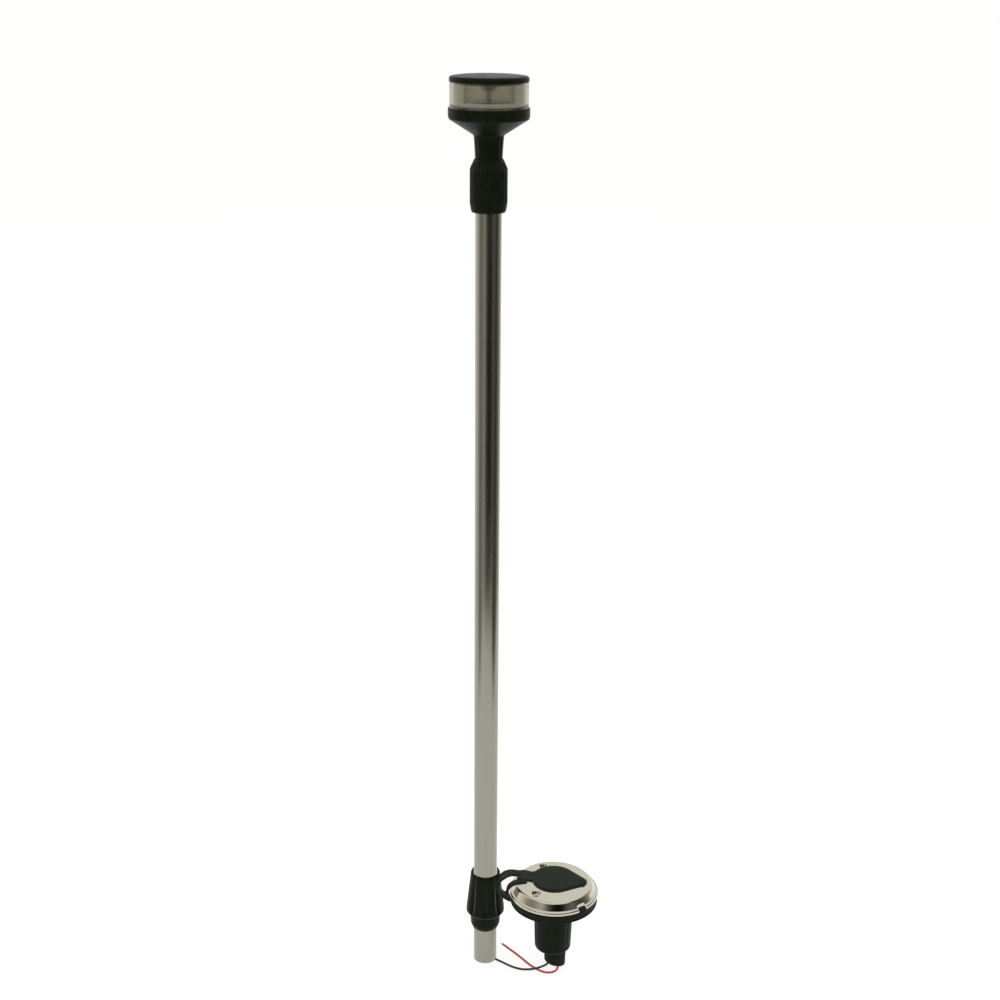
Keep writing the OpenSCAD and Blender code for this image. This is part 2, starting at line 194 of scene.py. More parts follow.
# ---- materials ----------------------------------------------------------------------------
def plastic(name, colour, rough, shine=0.075):
    """Moulded black nylon: fine spark-eroded grain, faintly uneven gloss."""
    s = Shader(name, colour, rough)
    grain = s.noise(0.35, 4)
    cloud = s.noise(9, 2)
    lighter = tuple(c * 1.5 + 0.0006 for c in colour)
    s.colour(s.span(cloud, 0.35, 0.7, 0, 1), colour, lighter)
    s.roughness(cloud, 0.3, 0.7, rough - 0.06, rough + 0.08)
    s.bump(grain, 0.02)
    s.set("Specular IOR Level", shine)
    s.set("Specular Tint", (0.85, 1, 0.66, 1))
    return s.mat


def rubber(name, colour, rough=0.62):
    """Moulded rubber: matt, with a slight bloom and a fine orange peel."""
    s = Shader(name, colour, rough)
    cloud = s.noise(7, 3)
    s.colour(s.span(cloud, 0.3, 0.75, 0, 1), colour, tuple(c * 1.4 + 0.001 for c in colour))
    s.roughness(s.noise(2.5, 3), 0.3, 0.7, rough - 0.07, rough + 0.1)
    s.bump(s.noise(0.6, 4), 0.03)
    s.set("Specular IOR Level", 0.1)
    s.set("Specular Tint", (0.88, 1, 0.78, 1))
    return s.mat


def polished_steel(name):
    """Buffed stainless sheet: a mirror with hairline polishing marks and a slight waviness."""
    s = Shader(name, (0.55, 0.53, 0.44), 0.14, metal=1.0)
    s.roughness(s.noise(5, 3), 0.3, 0.75, 0.1, 0.19)
    s.bump(s.noise(14, 2), 0.05, 0.5)
    s.bump(s.noise(0.5, 2, (1, 0.06, 0.06)), 0.004, 0.5)
    return s.mat


def anodised(name):
    """Bright drawn tube under a clear anodised layer: draw lines run along it."""
    s = Shader(name, (0.305, 0.3, 0.252), 0.21, metal=1.0)
    lines = s.noise(0.5, 3, (1, 1, 0.004))
    s.colour(s.span(lines, 0.3, 0.7, 0, 1), (0.29, 0.285, 0.238), (0.32, 0.314, 0.265))
    s.roughness(s.noise(3, 3, (1, 1, 0.05)), 0.3, 0.7, 0.18, 0.24)
    s.bump(lines, 0.004, 0.6)
    return s.mat


def metal(name, colour, rough):
    """Plain metal with a slightly uneven finish."""
    s = Shader(name, colour, rough, metal=1.0)
    s.roughness(s.noise(1.5, 3), 0.3, 0.7, rough - 0.06, rough + 0.08)
    s.bump(s.noise(0.4, 3), 0.01, 0.5)
    return s.mat


def clear_plastic(name, tint, rough):
    """Clear moulded polycarbonate with a faint waviness."""
    s = Shader(name, tint, rough)
    s.set("Transmission Weight", 1.0)
    s.set("IOR", 1.5)
    s.bump(s.noise(6, 2), 0.02, 0.4)
    return s.mat


def insulation(name, colour):
    """PVC wire insulation: smooth, with slightly uneven colour and surface."""
    s = Shader(name, colour, 0.4)
    cloud = s.noise(4, 2)
    s.colour(s.span(cloud, 0.3, 0.7, 0, 1), colour, tuple(min(1, c * 1.25 + 0.003) for c in colour))
    s.bump(s.noise(1.2, 2), 0.02, 0.6)
    return s.mat


def plain_moulding(name, colour, rough, painted_glow=0.0):
    """Plain moulding; the last argument makes it glow of itself in its own colour, a painted glow that stands
    in for the light that passes through a translucent one.
    """
    s = Shader(name, colour, rough)
    s.set("Emission Color", (*colour, 1))
    s.set("Emission Strength", painted_glow)
    s.roughness(s.noise(4, 2), 0.3, 0.7, rough - 0.05, rough + 0.08)
    s.bump(s.noise(0.5, 3), 0.01, 0.6)
    return s.mat


MATERIALS = {
    "polished_steel": polished_steel("polished_steel"),
    "black_plastic": plastic("black_plastic", (0.0042, 0.006, 0.0028), 0.44),
    "black_gloss": plastic("black_gloss", (0.0045, 0.007, 0.003), 0.36, 0.05),
    "gasket_rubber": rubber("gasket_rubber", (0.004, 0.0048, 0.0034)),
    "boot_rubber": rubber("boot_rubber", (0.007, 0.0085, 0.006)),
    "cap_rubber": rubber("cap_rubber", (0.009, 0.0138, 0.009), 0.5),
    "lead_rubber": rubber("lead_rubber", (0.006, 0.006, 0.006), 0.5),
    "wire_black": insulation("wire_black", (0.008, 0.009, 0.009)),
    "wire_red": insulation("wire_red", (0.42, 0.045, 0.02)),
    "tinned_wire": metal("tinned_wire", (0.62, 0.61, 0.57), 0.35),
    "anodised_tube": anodised("anodised_tube"),
    "plain_steel": metal("plain_steel", (0.55, 0.55, 0.54), 0.3),
    "brass": metal("brass", (0.72, 0.5, 0.22), 0.28),
    "natural_plastic": plain_moulding("natural_plastic", (0.62, 0.6, 0.52), 0.42),
    "clear_lens": clear_plastic("clear_lens", (0.44, 0.43, 0.362), 0.12),
    # painted glow: the white board and LED frames shine of themselves, painted light standing in for light
    # passing through the plastic
    "board_white": plain_moulding("board_white", (0.8, 0.79, 0.73), 0.35, 0.12),
    "led_yellow": plain_moulding("led_yellow", (0.75, 0.55, 0.14), 0.25),
    # painted glow: the pale plastic of the foot ring shines of itself, painted light standing in for light
    # passing through it
    "pale_plastic": plain_moulding("pale_plastic", (0.82, 0.82, 0.76), 0.3, 0.3),
    "bright_reflector": metal("bright_reflector", (0.62, 0.6, 0.57), 0.16),
}
CLEARER = clear_plastic("clearer", (0.99, 0.985, 0.96), 0.2)


# ---- mesh helpers -------------------------------------------------------------------------
def sharpen(mesh, degrees=32):
    """Smooth shading, with a hard edge wherever two faces meet at more than this angle."""
    bm = bmesh.new()
    bm.from_mesh(mesh)
    bmesh.ops.recalc_face_normals(bm, faces=bm.faces)
    limit = math.radians(degrees)
    for face in bm.faces:
        face.smooth = True
    for edge in bm.edges:
        edge.smooth = len(edge.link_faces) != 2 or edge.calc_face_angle(0) < limit
    bm.to_mesh(mesh)
    bm.free()


def object_from(bm, name):
    """A new object in the scene with the mesh of bm, which is freed."""
    mesh = bpy.data.meshes.new(name)
    bm.to_mesh(mesh)
    bm.free()
    return add_object(name, mesh)


def piece(name, verts, faces, slot, body=None, instead_of=(), sharp=32):
    """A mesh given in millimetres, finished, shaded and tied to its body and its CAD node."""
    mesh = bpy.data.meshes.new(name)
    mesh.from_pydata([Vector(v) * MM for v in verts], [], faces)
    mesh.update()
    sharpen(mesh, sharp)
    return dress(add_object(name, mesh), slot, body, instead_of)


def dress(obj, slot, body=None, instead_of=()):
    """Gives an object its material and ties it to its body and to the CAD nodes it stands for."""
    obj.data.materials.clear()
    obj.data.materials.append(MATERIALS[slot])
    if instead_of:
        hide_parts(*instead_of)
    if body:
        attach(obj, body)
    return obj


def rounded(points, steps=4):
    """A closed outline of (r, z, fillet) corners, with each fillet drawn as a smooth curve."""
    out = []
    n = len(points)
    for i, (x, y, fillet) in enumerate(points):
        here = Vector((x, y))
        before = Vector(points[i - 1][:2]) - here
        after = Vector(points[(i + 1) % n][:2]) - here
        if fillet <= 0:
            out.append(here)
            continue
        half = before.angle(after) / 2
        reach = min(fillet / math.tan(half), before.length * 0.49, after.length * 0.49)
        start = here + before.normalized() * reach
        end = here + after.normalized() * reach
        for k in range(steps + 1):
            t = k / steps
            out.append(start * (1 - t) ** 2 + here * 2 * t * (1 - t) + end * t ** 2)
    return out


def arc(r, z, radius, a0, a1, steps=12):
    """Points of an (r, z) outline along an arc, its angles in degrees from the outward direction."""
    angles = [math.radians(a0 + (a1 - a0) * k / steps) for k in range(steps + 1)]
    return [Vector((r + radius * math.cos(a), z + radius * math.sin(a))) for a in angles]


def densify(outline, step):
    """Adds points so that no side of the outline is longer than step."""
    out = []
    for i, a in enumerate(outline):
        b = outline[(i + 1) % len(outline)]
        n = max(1, math.ceil((b - a).length / step))
        out += [a.lerp(b, k / n) for k in range(n)]
    return out


def ring_faces(turns, n):
    """Faces of a closed outline of n points carried round in this many turns."""
    faces = []
    for k in range(turns):
        m = (k + 1) % turns
        for j in range(n):
            i = (j + 1) % n
            faces.append((k * n + j, m * n + j, m * n + i, k * n + i))
    return faces


def revolve(name, outline, axis, slot, body, instead_of=(), turns=144, shape=None):
    """A solid of revolution of a closed (r, z) outline; shape(r, z, angle) gives the moved r and z."""
    verts = []
    for k in range(turns):
        a = TAU * k / turns
        for p in outline:
            r, z = shape(p.x, p.y, a) if shape else p
            verts.append((axis[0] + r * math.cos(a), axis[1] + r * math.sin(a), z))
    return piece(name, verts, ring_faces(turns, len(outline)), slot, body, instead_of)


def groove(angle, count, width, phase=0.0):
    """1 at the middle of each of count grooves round the axis, falling smoothly to 0 at its edges."""
    pitch = TAU / count
    off = abs((angle - phase + pitch / 2) % pitch - pitch / 2)
    half = pitch * width / 2
    return math.cos(off / half * math.pi / 2) ** 2 if off < half else 0.0


def fade(x, a, b):
    """Rises smoothly from 0 at a to 1 at b."""
    t = min(1.0, max(0.0, (x - a) / (b - a)))
    return t * t * (3 - 2 * t)


def smooth_route(points, steps=6):
    """A Catmull-Rom curve through the points of a route."""
    pts = [Vector(p) for p in points]
    pts = [2 * pts[0] - pts[1], *pts, 2 * pts[-1] - pts[-2]]
    out = []
    for i in range(1, len(pts) - 2):
        a, b, c, d = pts[i - 1 : i + 3]
        for k in range(steps):
            t = k / steps
            out.append(
                0.5 * (2 * b + (c - a) * t + (2 * a - 5 * b + 4 * c - d) * t**2
                       + (3 * b - a - 3 * c + d) * t**3)
            )
    out.append(pts[-2])
    return out


# ---- cutters ------------------------------------------------------------------------------
def drum(r, z0, z1, axis, turns):
    """A plain cylinder to cut with."""
    bm = bmesh.new()
    middle = Matrix.Translation(Vector((axis[0], axis[1], (z0 + z1) / 2)) * MM)
    bmesh.ops.create_cone(bm, cap_ends=True, segments=turns, radius1=r * MM, radius2=r * MM,
                          depth=(z1 - z0) * MM, matrix=middle)
    return object_from(bm, "cutter")


def box_cutter(size, place, turn):
    """A plain block to cut with, moved to its place and then turned about the socket's axis."""
    bm = bmesh.new()
    scale = Matrix.Diagonal((*(Vector(size) * MM), 1))
    moved = Matrix.Translation(Vector(place) * MM)
    bmesh.ops.create_cube(bm, size=1, matrix=Matrix.Rotation(turn, 4, "Z") @ moved @ scale)
    return object_from(bm, "cutter")


def cut(obj, cutter, how="DIFFERENCE"):
    """Boolean of obj with cutter, applied to obj's mesh; the cutter is removed."""
    m = obj.modifiers.new("cut", "BOOLEAN")
    m.operation = how
    m.solver = "EXACT"
    m.object = cutter
    apply_modifiers(obj)
    bpy.data.objects.remove(cutter)


def apply_modifiers(obj):
    """Turns what the modifiers make of the mesh into the object's own mesh."""
    bpy.context.view_layer.update()
    made = bpy.data.meshes.new_from_object(obj.evaluated_get(bpy.context.evaluated_depsgraph_get()))
    old = obj.data
    obj.modifiers.clear()
    obj.data = made
    made.name = obj.name
    bpy.data.meshes.remove(old)


# ---- cords --------------------------------------------------------------------------------
WIRE_D = 1.8
BLACK_ROUTE = [
    (-1.5, -1.6, -53), (-2.2, -3, -55.6), (-3.2, -4.9, -57.6), (-5.6, -7.3, -58.8), (-9.8, -10.4, -58.8),
    (-14.8, -12.7, -58.9), (-20, -13, -59.4), (-25.6, -12, -60.1), (-31.3, -9.5, -60.4),
    (-36.4, -6.8, -60.1), (-41, -4.8, -59), (-45, -4.4, -57.2), (-48.2, -4.8, -55.2)]
RED_ROUTE = [
    (3, -1, -53), (3.5, -3, -56), (4.2, -5.8, -58.5), (4.3, -9, -60.1), (2.7, -12.5, -60.6),
    (-1, -15.2, -60.6), (-6, -15.3, -60.6), (-10.4, -13.1, -60.6), (-14.6, -9.6, -60.6),
    (-19.4, -4.6, -60.6), (-25.3, 3.4, -60.6), (-31.2, 11, -60.6), (-37, 18, -60.6), (-41.6, 23.4, -60.6)]


def bared_strands(name, end, direction):
    """Seven tinned strands, twisted together, standing out of a wire's cut end."""
    verts, faces = [], []
    side = direction.orthogonal().normalized()
    other = direction.cross(side)
    rings, sides, reach, inset = 10, 6, 3.0, 0.3
    outer, strand_r, spread, twist = 6, 0.2, 0.4, 1.8
    for s in range(outer + 1):
        first = len(verts)
        off = 0.0 if s == outer else spread
        for k in range(rings + 1):
            t = k / rings
            turn = TAU * s / outer + t * twist
            outward = side * math.cos(turn) + other * math.sin(turn)
            mid = end + direction * (t * reach - inset) + outward * off
            for j in range(sides):
                a = TAU * j / sides
                verts.append(mid + (side * math.cos(a) + other * math.sin(a)) * strand_r)
        for k in range(rings):
            for j in range(sides):
                a, b = first + k * sides + j, first + k * sides + (j + 1) % sides
                faces.append((a, b, b + sides, a + sides))
        faces.append(tuple(first + j for j in range(sides)))
        faces.append(tuple(first + rings * sides + j for j in reversed(range(sides))))
    return piece(name, verts, faces, "tinned_wire", "base")


def add_wire(name, points, slot, node, ends_node=()):
    """A round wire along a smooth curve through the points, with its bared end."""
    route = smooth_route(points)
    curve = bpy.data.curves.new(name, "CURVE")
    curve.dimensions = "3D"
    curve.bevel_depth = WIRE_D / 2 * MM
    curve.bevel_resolution = 6
    curve.use_fill_caps = True
    spline = curve.splines.new("POLY")
    spline.points.add(len(route) - 1)
    for p, q in zip(spline.points, route):
        p.co = (*(q * MM), 1)
    spline.use_smooth = True
    wire = add_object(name, curve)
    dress(wire, slot, "base", [node])
    strands = bared_strands(name + "_strands", route[-1], (route[-1] - route[-2]).normalized())
    if ends_node:
        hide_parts(*ends_node)


# ---- deck base ----------------------------------------------------------------------------
COVER_R = (high("steel_cover").x - low("steel_cover").x) / 2
COVER_TOP = high("steel_cover").z
FLANGE_TOP = low("steel_cover").z
FLANGE_R = high("deck_gasket").x
GASKET_T = high("deck_gasket").z
BARREL_R = high("socket_barrel").x - 0.35
BARREL_END = low("socket_barrel").z
SCREW_R, SCREW_CIRCLE = 2.3, 23.5
SCREW_SPOTS = [(SCREW_CIRCLE * math.cos(a), SCREW_CIRCLE * math.sin(a))
               for a in (math.radians(degrees) for degrees in (230, 110, 350))]
NOTCH_TURN = math.radians(-51)
SOCKET_R, MOUTH_R = 9.7, 13.0


def add_cover():
    """Pressed cover: flat dome with three dimpled screw holes, a fold, and a rolled rim with a notch."""
    t, rim_top = COVER_TOP, FLANGE_TOP + 2.6
    hole_r, flat_r, fold_r = 14.1, 28.8, 34.35
    bend, rim_r, steepest, crisp = 3.5, 1.5, 25, 50
    dimple, dimple_r, screw_seat_r = 2.8, 4.6, 2.5
    outside = [Vector((hole_r, t))] + arc(flat_r, t - bend, bend, 90, steepest)
    outside += arc(fold_r, rim_top + 0.35, 0.5, 200, 270, 4)
    outside += arc(COVER_R - rim_r, rim_top - rim_r, rim_r, 90, 0, 8)
    inside = [Vector((COVER_R, FLANGE_TOP)), Vector((COVER_R - 1, FLANGE_TOP)),
              Vector((COVER_R - 1, rim_top - 1.2)), Vector((33.2, rim_top - 1))]
    inside += arc(flat_r, t - bend, bend - 1, steepest, 90) + [Vector((hole_r, t - 1))]
    outline = densify(outside + inside, 0.5)
    turns = 420
    verts = []
    for k in range(turns):
        a = TAU * k / turns
        for p in outline:
            x, y, z = p.x * math.cos(a), p.x * math.sin(a), p.y
            for spot_x, spot_y in SCREW_SPOTS:
                off = math.hypot(x - spot_x, y - spot_y)
                z -= dimple * fade(-off, -dimple_r, -screw_seat_r)
            verts.append((x, y, z))
    cover = piece("cover", verts, ring_faces(turns, len(outline)), "polished_steel", sharp=crisp)
    for spot in SCREW_SPOTS:
        cut(cover, drum(SCREW_R, 0, 30, spot, 32))
    cut(cover, box_cutter((5, 8, 6), (35.5, 0, FLANGE_TOP + 2), NOTCH_TURN))
    sharpen(cover.data, crisp)
    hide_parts("steel_cover")
    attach(cover, "base")


def add_flange():
    """Black moulded flange under the cover, with the screw pillars and the slot for the strap's end."""
    hole_r, pillar_r = BARREL_R + 0.4, 4.4
    outline = densify(rounded([
        (hole_r, GASKET_T, 0.2), (FLANGE_R, GASKET_T, 0.5), (FLANGE_R, FLANGE_TOP, 0.4),
        (hole_r, FLANGE_TOP, 0.2)], 3), 2)
    flange = revolve("flange", outline, BASE_AXIS, "black_plastic", None, turns=180)
    for spot in SCREW_SPOTS:
        cut(flange, drum(pillar_r, FLANGE_TOP - 1, COVER_TOP - 3.1, spot, 40), "UNION")
        cut(flange, drum(SCREW_R, -1, 30, spot, 32))
    cut(flange, box_cutter((5.6, 9, 4), (-FLANGE_R + 1.8, -7.5, FLANGE_TOP - 1.8), 0))
    sharpen(flange.data)
    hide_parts("base_flange")
    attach(flange, "base")


def add_barrel():
    """Tapered barrel with six shallow flutes that run down it, and the stepped socket inside."""
    bottom, top = BARREL_END, COVER_TOP - 2.5
    outline = densify(rounded([
        (SOCKET_R, 2, 0.4), (MOUTH_R, 2, 0.4), (MOUTH_R, 13, 0.1), (13.6, 13.2, 0.1), (13.6, top, 0.3),
        (BARREL_R + 0.35, top, 0.3), (BARREL_R + 0.35, 0.2, 0.2), (BARREL_R, -0.4, 0.2), (BARREL_R, -12, 2),
        (14.9, bottom + 1.2, 0.6), (14.1, bottom, 0.4), (11, bottom, 0.2), (11, -30, 0.2), (10.1, -30, 0.2),
        (10.1, -12, 0.2), (SOCKET_R, -12, 0.2)], 3), 1.6)
    count, deepest, first = 6, 0.5, math.radians(-103)

    def flutes(r, z, a):
        depth = deepest * fade(-z, 1, 5) if r > 13.8 else 0
        return r - depth * groove(a, count, 0.16, first), z

    revolve("barrel", outline, BASE_AXIS, "black_plastic", "base", ["socket_barrel"], 240, flutes)


def add_gasket():
    """Deck gasket: a rubber ring that bulges slightly at its edge."""
    hole_r = BARREL_R + 0.6
    outline = densify(rounded([
        (hole_r, 0, 0.2), (FLANGE_R, 0, 0.5), (FLANGE_R + 0.15, GASKET_T / 2, 1),
        (FLANGE_R, GASKET_T, 0.4), (hole_r, GASKET_T, 0.2)], 3), 1.5)
    gasket = revolve("gasket", outline, BASE_AXIS, "gasket_rubber", None, turns=180)
    for spot in SCREW_SPOTS:
        cut(gasket, drum(SCREW_R, -1, 30, spot, 32))
    sharpen(gasket.data)
    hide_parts("deck_gasket")
    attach(gasket, "base")


def add_boot():
    """Rubber boot under the barrel: a soft rib, then a stub cut on a slant where the wires come out."""
    top, foot, stub_r, stub_x = BARREL_END, FLOOR, 8.8, 2.0
    slope, slanted = math.tan(math.radians(13)), 6
    outline = densify(rounded([
        (0.4, foot, 0), (stub_r, foot, 0.9), (stub_r, top - 8, 0), (stub_r + 0.35, top - 7, 0.5),
        (stub_r, top - 6, 0), (stub_r, top - 3, 0), (stub_r, top, 0.2), (0.4, top, 0)], 4), 0.8)

    def slant(r, z, a):
        lowest = foot + (stub_r - r * math.cos(a)) * slope
        share = min(1.0, (z - foot) / slanted)
        return r, z if z > foot + slanted else lowest + (foot + slanted - lowest) * share

    revolve("boot", outline, (stub_x, 0), "boot_rubber", "base", ["cable_boot"], turns=96, shape=slant)
    plug = densify(rounded([
        (3.8, top, 0.1), (10.9, top, 0.2), (10.9, top + 2.6, 0.3), (3.8, top + 2.6, 0.2)], 3), 1.5)
    revolve("boot_plug", plug, BASE_AXIS, "boot_rubber", "base", turns=96)


# ---- dust cap and its strap, one moulding -------------------------------------------------
CAP_TURN = math.radians(-11)
CAP_LOW, CAP_HIGH = COVER_TOP + 0.3, high("socket_cap").z
CREASE = -19.4
OUTER_ARM = [
    (-22.6, 5, 18.9), (-27, 6.6, 19.4), (-32, 7, 20.2), (-37, 5, 21.2), (-40.8, 1.2, 21.6), (-43.6, -3.4, 21),
    (-45.2, -7, 19.4), (-45.4, -9.4, 16.8), (-44.2, -9.8, 13.8), (-42, -9.4, 10.8), (-39.2, -8.8, 8.2),
    (-36.6, -8.4, 6.4), (-34.2, -8, 5.7)]
INNER_ARM = [
    (-22.6, -2.6, 18.8), (-27, -3.4, 18.6), (-31, -3.2, 17.8), (-34.2, -3.2, 16.4), (-36.8, -3.6, 14.4),
    (-38.1, -4.6, 12), (-38.4, -5.6, 8.8), (-37.9, -6.2, 6.8), (-35.8, -6.6, 5.8)]


def turned(x, y):
    """A point of the cap's own frame, turned about the socket's axis."""
    return x * math.cos(CAP_TURN) - y * math.sin(CAP_TURN), x * math.sin(CAP_TURN) + y * math.cos(CAP_TURN)


def plate(outline, z0, z1):
    """A flat solid of a turned outline, as vertices and faces."""
    n = len(outline)
    verts = [(*turned(x, y), z) for z in (z0, z1) for x, y in outline]
    faces = [tuple(reversed(range(n))), tuple(range(n, 2 * n))]
    faces += [(i, (i + 1) % n, n + (i + 1) % n, n + i) for i in range(n)]
    return verts, faces


def band(points, width, thick, side):
    """A flat strip along a route, as vertices and faces."""
    route = smooth_route(points, 5)
    verts, faces = [], []
    for i, p in enumerate(route):
        t = (route[min(i + 1, len(route) - 1)] - route[max(i - 1, 0)]).normalized()
        up = t.cross(Vector(side)).normalized()
        across = up.cross(t)
        for u, v in ((-1, -1), (1, -1), (1, 1), (-1, 1)):
            verts.append(p + across * (u * width / 2) + up * (v * thick / 2))
    for i in range(len(route) - 1):
        for j in range(4):
            a, b = i * 4 + j, i * 4 + (j + 1) % 4
            faces.append((a, a + 4, b + 4, b))
    faces += [(0, 1, 2, 3), tuple(4 * (len(route) - 1) + j for j in (3, 2, 1, 0))]
    return verts, faces


def cap_outline():
    """Round over the socket, drawn out to a rounded tab; a neck leads to the strap."""
    tip, tip_r, cap_r = 23.2, 4.2, 18.0
    tip_steps, cap_steps = 12, 24
    lean = math.acos((cap_r - tip_r) / tip)
    points = [(tip + tip_r * math.cos(a), tip_r * math.sin(a))
              for a in (lean * (k / tip_steps * 2 - 1) for k in range(tip_steps + 1))]
    end = math.radians(158)
    points += [(cap_r * math.cos(a), cap_r * math.sin(a))
               for a in (lean + (end - lean) * k / cap_steps for k in range(cap_steps + 1))]
    points += [(CREASE - 2, 6), (-26, 6.8), (-30, 5.6), (-30, -5.8), (-27, -7.8), (-24, -7.8),
               (CREASE - 2, -6.9)]
    points += [(cap_r * math.cos(a), -cap_r * math.sin(a))
               for a in (end + (lean - end) * k / cap_steps for k in range(cap_steps + 1))]
    return points


def add_cap():
    """Cap, neck and both arms of the strap in one soft moulding, thinned at the crease."""
    mid, bend_reach = (CAP_LOW + CAP_HIGH) / 2, 1.8
    parts = [plate(cap_outline(), CAP_LOW, CAP_HIGH),
             band(OUTER_ARM, 7, 2.7, (0.12, 0.99, 0)), band(INNER_ARM, 5.8, 2.5, (0.1, 0.99, 0))]
    bm = bmesh.new()
    for verts, faces in parts:
        made = [bm.verts.new(Vector(v) * MM) for v in verts]
        for face in faces:
            bm.faces.new([made[i] for i in face])
    bmesh.ops.recalc_face_normals(bm, faces=bm.faces)
    cap = object_from(bm, "dust_cap")
    remesh = cap.modifiers.new("remesh", "REMESH")
    remesh.mode = "VOXEL"
    remesh.voxel_size = 0.42 * MM
    smooth = cap.modifiers.new("smooth", "SMOOTH")
    smooth.factor = 0.6
    smooth.iterations = 7
    apply_modifiers(cap)
    dish(cap, mid)
    for polygon in cap.data.polygons:
        polygon.use_smooth = True
    dress(cap, "cap_rubber", None, ["socket_cap", "cap_strap"])
    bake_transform(cap)
    plug = densify(rounded([
        (9.6, CAP_LOW - 4, 0.5), (12.5, CAP_LOW - 4, 0.6), (12.9, CAP_LOW + 0.6, 0.2),
        (9.6, CAP_LOW + 0.6, 0.2)], 3), 1)
    revolve("cap_plug", plug, BASE_AXIS, "cap_rubber", "cap", turns=96)


def dish(cap, mid):
    """Crowns the cap's top slightly and thins the crease."""
    crown, thinning, crease_half = 0.5, 0.3, 2.5
    for v in cap.data.vertices:
        p = v.co / MM
        x = p.x * math.cos(CAP_TURN) + p.y * math.sin(CAP_TURN)
        y = p.y * math.cos(CAP_TURN) - p.x * math.sin(CAP_TURN)
        if x > CREASE - 3 and p.z > mid:
            v.co.z += crown * fade(-math.hypot(x - 2, y), -19, -2) * MM
        away = abs(x - CREASE)
        if away < crease_half:
            v.co.z = (mid + (p.z - mid) * (1 - thinning * fade(-away, -crease_half, 0))) * MM


# ---- pole ---------------------------------------------------------------------------------
HEAD_LOW, RIM_Z = low("head_housing").z, high("head_housing").z
LENS_TOP, CAP_TOP = high("lens").z, high("top_cap").z
HEAD_R = (high("head_housing").x - low("head_housing").x) / 2
LENS_R = (high("lens").x - low("lens").x) / 2
NUT_LOW, NUT_TOP = low("lock_nut").z, high("lock_nut").z
COLLAR_LOW, COLLAR_TOP = low("locking_collar").z, high("locking_collar").z


def add_tube():
    """Drawn tube with square, lightly broken ends and a turned line at the depth of a socket."""
    bore = TUBE_R - 1.2
    line = FLOOR + 31.3
    outline = rounded([
        (bore, FLOOR, 0.25), (TUBE_R, FLOOR, 0.35), (TUBE_R, line - 0.3, 0.05), (TUBE_R - 0.15, line, 0.05),
        (TUBE_R, line + 0.3, 0.05), (TUBE_R, TUBE_TOP, 0.3), (bore, TUBE_TOP, 0.25)], 3)
    revolve("pole_tube", outline, POLE_AXIS, "anodised_tube", "pole", ["outer_tube"], 128)


def add_inner_tube():
    """Sliding mast: a thinner drawn tube with lightly broken ends."""
    bottom, top, bore = low("inner_tube").z, high("inner_tube").z, MAST_R - 1
    outline = rounded([
        (bore, bottom, 0.2), (MAST_R, bottom, 0.3), (MAST_R, top, 0.3), (bore, top, 0.2)], 3)
    revolve("mast_tube", outline, POLE_AXIS, "anodised_tube", "mast", ["inner_tube"], 128)


def add_collar():
    """Locking collar: plain nose, a shoulder, then a fluted grip that narrows to the tube."""
    z0, z1 = COLLAR_LOW, COLLAR_TOP
    hole, shoulder = TUBE_R + 0.3, COLLAR_LOW + 14
    outline = densify(rounded([
        (hole, z0, 0.3), (10.7, z0, 1), (12, z0 + 3.4, 3), (12.5, shoulder - 1, 0.2),
        (14.4, shoulder - 0.3, 0.5), (15.8, shoulder + 1.6, 0.8), (15.7, shoulder + 4, 3),
        (12.1, z1 - 1.6, 1.4), (11.3, z1, 0.5), (10.7, z1, 0.2), (10.7, z1 - 17, 0.5),
        (hole, z1 - 19, 0.3)], 4), 0.8)
    count, deepest, front = 8, 2.2, math.radians(-90)

    def flutes(r, z, a):
        cut_in = groove(a, count, 0.5, front)
        shallower = 1 - 0.82 * fade(z, shoulder + 10, z1 - 1)
        depth = deepest * fade(z, shoulder + 0.6, shoulder + 7) * shallower
        dip = deepest * fade(z, z1 - 4, z1 - 0.4) * groove(a, count, 0.34, front)
        return r - (depth * cut_in if r > 11 else 0), z - (dip if r > 10.9 else 0)

    revolve("collar", outline, POLE_AXIS, "black_plastic", "collar", ["locking_collar"], 288, flutes)


def add_nut():
    """Lock nut: a fine-ribbed grip with a bevelled foot and a petalled bevel at the top."""
    z0, z1, w = NUT_LOW, NUT_TOP + 0.15, 13.5
    hole, count = MAST_R + 0.3, 24
    outline = densify(rounded([
        (11.6, z0, 0.3), (12, z0, 0.5), (12.7, z0 + 1.6, 1), (w, z0 + 7, 3), (w, z1 - 7, 2),
        (10.6, z1 - 0.8, 1), (9.9, z1, 0.3), (hole, z1, 0.2), (hole, z1 - 6, 0.2),
        (11.6, z1 - 8, 0.2)], 4), 0.8)

    def ribs(r, z, a):
        if r < 11.9 and z < z1 - 7:
            return r, z
        depth = 0.42 * fade(z, z0 + 2, z0 + 8) * (1 - fade(z, z1 - 9, z1 - 6.5))
        petal = 0.6 * fade(z, z1 - 8, z1 - 5) * (1 - fade(z, z1 - 3, z1 - 0.8))
        return r - depth * groove(a, count, 0.55) - petal * groove(a, count // 2, 0.5), z

    revolve("nut", outline, POLE_AXIS, "black_plastic", "nut", ["lock_nut"], 336, ribs)


